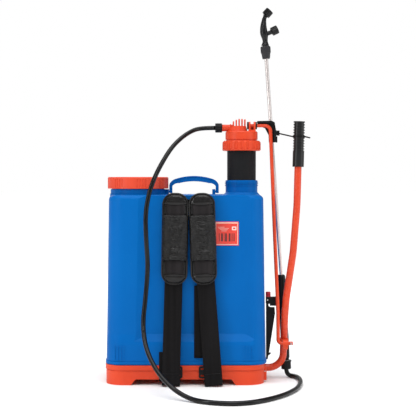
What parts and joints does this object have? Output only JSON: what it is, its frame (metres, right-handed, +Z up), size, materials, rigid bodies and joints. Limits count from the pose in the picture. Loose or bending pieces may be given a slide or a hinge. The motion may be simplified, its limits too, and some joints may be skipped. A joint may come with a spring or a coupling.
{
  "type": "backpack sprayer",
  "caption": "Lever-operated knapsack sprayer: tank with filler cap, piston pump, link rod and lever, shoulder straps, hose, trigger handle and lance.",
  "frame": {"origin": "on the floor, below the middle of the sprayer's bounds measured without the hose; the tank's middle lies 49.5 mm towards -X and 11.5 mm towards +Y of it", "axes": "+X across the tank towards the pump and lever, -Y towards the wearer, +Z up"},
  "size_m": [0.4628, 0.4091, 0.8515],
  "materials": {
    "tank_blue": "satin blow-moulded polyethylene",
    "orange_plastic": "satin moulded plastic",
    "orange_paint": "gloss powder coat on steel",
    "black_plastic": "satin moulded plastic",
    "white_plastic": "plain moulded plastic",
    "red_plastic": "gloss moulded plastic",
    "steel": "brushed stainless steel",
    "webbing": "woven webbing",
    "pad": "padded vinyl and mesh fabric",
    "rubber": "rubber",
    "hose": "gloss black hose",
    "label": "printed film"
  },
  "bodies": {
    "tank": {"tank_shell": "tank_blue", "strainer_basket": "white_plastic", "carry_pins": "tank_blue", "base_housing": "orange_plastic", "base_screws": "steel", "shaft_bearings": "white_plastic", "pump_cylinder": "white_plastic", "inlet_valve_seat": "white_plastic", "inlet_valve_ball": "steel", "suction_strainer": "white_plastic", "neck_guide_bush": "black_plastic", "lance_tube": "steel", "lance_nut": "black_plastic", "nozzle_head": "black_plastic", "nozzle_cores": "red_plastic", "handle_body": "black_plastic", "handle_collar": "black_plastic", "handle_barb": "white_plastic", "handle_strainer": "white_plastic", "trigger_pin": "steel", "valve_spring": "steel", "label_plate": "label", "shoulder_pad_left": "pad", "shoulder_pad_right": "pad", "strap_webbing_left": "webbing", "strap_webbing_right": "webbing", "strap_tail_left": "webbing", "strap_tail_right": "webbing", "strap_buckles": "black_plastic", "strap_anchor": "black_plastic", "strap_loops": "webbing", "delivery_hose": "hose"},
    "pump": {"air_chamber": "black_plastic", "ring_nut": "orange_plastic", "pump_head": "orange_plastic", "head_gasket": "rubber", "hose_nut_top": "black_plastic", "hose_barb": "white_plastic", "rod_bushes": "black_plastic", "riser_tube": "white_plastic", "piston_tube": "white_plastic", "piston_cup": "rubber", "outlet_valve_ball": "steel", "agitator_disc": "black_plastic"},
    "rod": {"link_rod": "orange_paint", "split_pin": "steel", "lance_clip": "black_plastic"},
    "lever": {"lever_tube": "orange_paint", "lever_grip": "black_plastic", "link_clamp": "orange_plastic", "shaft_collar": "black_plastic", "cable_tie": "black_plastic"},
    "cap_seal": {"cap_gasket": "rubber"},
    "cap": {"filler_cap": "orange_plastic"},
    "carry": {"carry_handle": "tank_blue"},
    "trigger": {"trigger_lever": "black_plastic"},
    "stem": {"valve_stem": "white_plastic"},
    "lock": {"trigger_lock": "red_plastic"},
    "top_nozzle": {"nozzle_cap_top": "black_plastic"},
    "side_nozzle": {"nozzle_cap_side": "black_plastic"}
  },
  "joints": [
    {"name": "lever_swing", "type": "hinge", "parent": "tank", "child": "lever", "pos_m": [0.1305, 0.0015, 0.026], "axis": [1, 0, 0], "range_deg": [0, 50]},
    {"name": "pump_stroke", "type": "slide", "parent": "tank", "child": "pump", "axis": [0, 0, -1], "range_m": [0, 0.05293], "deforming": ["delivery_hose"]},
    {"name": "link_rod_swing", "type": "hinge", "parent": "pump", "child": "rod", "pos_m": [0.1005, -0.0025, 0.5811], "axis": [-1, 0, 0], "range_deg": [0, 3.98]},
    {"name": "cap_lift", "type": "slide", "parent": "tank", "child": "cap_seal", "axis": [0, 0, 1], "range_m": [0, 0.06]},
    {"name": "cap_turn", "type": "hinge", "parent": "cap_seal", "child": "cap", "pos_m": [-0.16, 0.0115, 0.45], "axis": [0, 0, 1], "range_deg": [0, 450]},
    {"name": "carry_handle_fold", "type": "hinge", "parent": "tank", "child": "carry", "pos_m": [-0.03165, 0.0115, 0.4305], "axis": [-1, 0, 0], "range_deg": [0, 84]},
    {"name": "trigger_squeeze", "type": "hinge", "parent": "tank", "child": "trigger", "pos_m": [0.1377, 0.0135, 0.181], "axis": [0, -1, 0], "range_deg": [0, 9.5], "stiffness_Nm_per_rad": 1.2, "springref_deg": -6.88},
    {"name": "valve_stem_push", "type": "slide", "parent": "tank", "child": "stem", "axis": [1, 0, 0], "range_m": [0, 0.00126]},
    {"name": "trigger_lock_turn", "type": "hinge", "parent": "tank", "child": "lock", "pos_m": [0.1393, 0.0135, 0.19], "axis": [0, 0, 1], "range_deg": [0, 90]},
    {"name": "top_nozzle_turn", "type": "hinge", "parent": "tank", "child": "top_nozzle", "pos_m": [0.1321, 0.0135, 0.8342], "axis": [0.6766, 0, 0.7363], "range_deg": [0, 360]},
    {"name": "side_nozzle_turn", "type": "hinge", "parent": "tank", "child": "side_nozzle", "pos_m": [0.1465, 0.0135, 0.7964], "axis": [0.9023, 0, 0.4311], "range_deg": [0, 360]}
  ],
  "couplings": [
    {"joint": "pump_stroke", "follows": "lever_swing", "m_per_rad": 0.060535},
    {"joint": "link_rod_swing", "follows": "lever_swing", "ratio": 0.079176},
    {"joint": "valve_stem_push", "follows": "trigger_squeeze", "m_per_rad": 0.0075}
  ]
}
